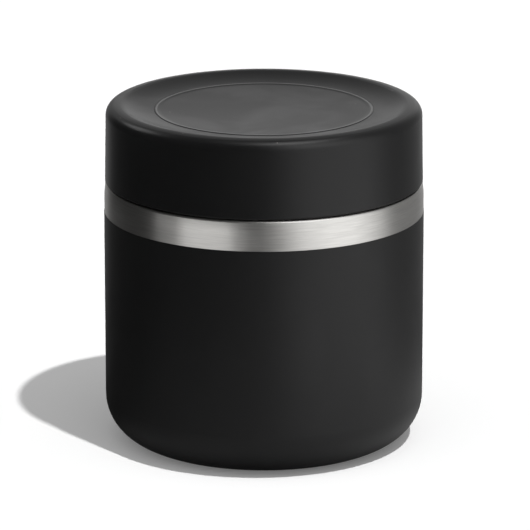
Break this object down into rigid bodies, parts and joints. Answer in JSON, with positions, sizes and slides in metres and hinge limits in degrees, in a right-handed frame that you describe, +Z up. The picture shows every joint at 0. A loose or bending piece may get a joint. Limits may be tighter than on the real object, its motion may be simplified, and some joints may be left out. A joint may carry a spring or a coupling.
{
  "type": "insulated food jar",
  "caption": "Round double-wall vacuum food jar with a black coated body, bare steel band and a screw lid with a dished top.",
  "frame": {"origin": "middle of the foot ring, on the surface the jar stands on", "axes": "+Z up along the jar's axis, towards the lid; -Y is the front"},
  "size_m": [0.104, 0.104, 0.112],
  "materials": {
    "brushed_band_steel": "fine brushed round the axis",
    "vessel_steel": "satin",
    "bottom_steel": "satin",
    "black_powder_coat": "fine matte texture",
    "black_lid_plastic": "smooth matte",
    "liner_plastic": "satin",
    "gasket_silicone": "smooth matte",
    "lid_foam": "fine cells",
    "getter_alloy": "sintered",
    "seal_braze": "dull"
  },
  "bodies": {
    "jar": {"outer_shell": "brushed_band_steel", "outer_bottom": "bottom_steel", "base_cover": "bottom_steel", "powder_coat": "black_powder_coat", "inner_vessel": "vessel_steel", "vacuum_seal": "seal_braze", "getter": "getter_alloy", "getter_clip": "bottom_steel"},
    "gasket": {"lid_gasket": "gasket_silicone"},
    "lid": {"lid_shell": "black_lid_plastic", "lid_top_disc": "black_lid_plastic", "lid_liner": "liner_plastic", "lid_foam": "lid_foam"}
  },
  "joints": [
    {"name": "lid_lift", "type": "slide", "parent": "jar", "child": "gasket", "axis": [0, 0, 1], "range_m": [0, 0.024]},
    {"name": "lid_turn", "type": "hinge", "parent": "gasket", "child": "lid", "pos_m": [0, 0, 0.1], "axis": [0, 0, 1], "range_deg": [0, 1080]}
  ],
  "couplings": [
    {"joint": "lid_lift", "follows": "lid_turn", "m_per_rad": 0.0012732}
  ]
}
